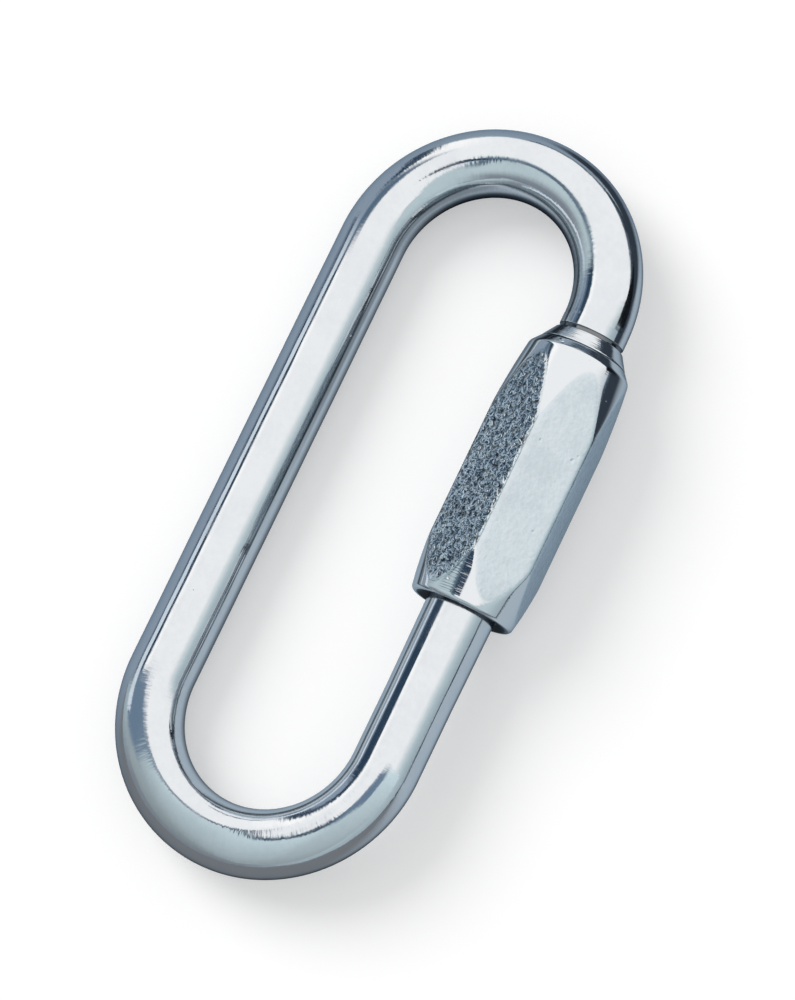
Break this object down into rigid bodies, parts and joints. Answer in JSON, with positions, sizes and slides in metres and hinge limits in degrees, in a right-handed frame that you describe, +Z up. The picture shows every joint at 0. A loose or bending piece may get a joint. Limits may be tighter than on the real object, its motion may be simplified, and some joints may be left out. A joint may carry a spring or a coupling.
{
  "type": "chain quick link",
  "caption": "Long oval quick link of bent round bar, closed by a hexagonal sleeve nut that runs along one leg, for joining chain or rigging.",
  "frame": {"origin": "on the surface that the link lies on, under the middle of its box", "axes": "+Y along the legs towards the bow beside the stop collar, +X towards the gate leg and its nut, +Z up"},
  "size_m": [0.0498, 0.117, 0.0182],
  "materials": {
    "plated_bar": "bright zinc plate, smooth",
    "plated_nut": "bright zinc plate over a grained hexagon bar"
  },
  "bodies": {
    "link": {"link_body": "plated_bar"},
    "nut": {"sleeve_nut": "plated_nut"}
  },
  "joints": [
    {"name": "nut_travel", "type": "slide", "parent": "link", "child": "nut", "axis": [0, -1, 0], "range_m": [0, 0.02375]}
  ]
}
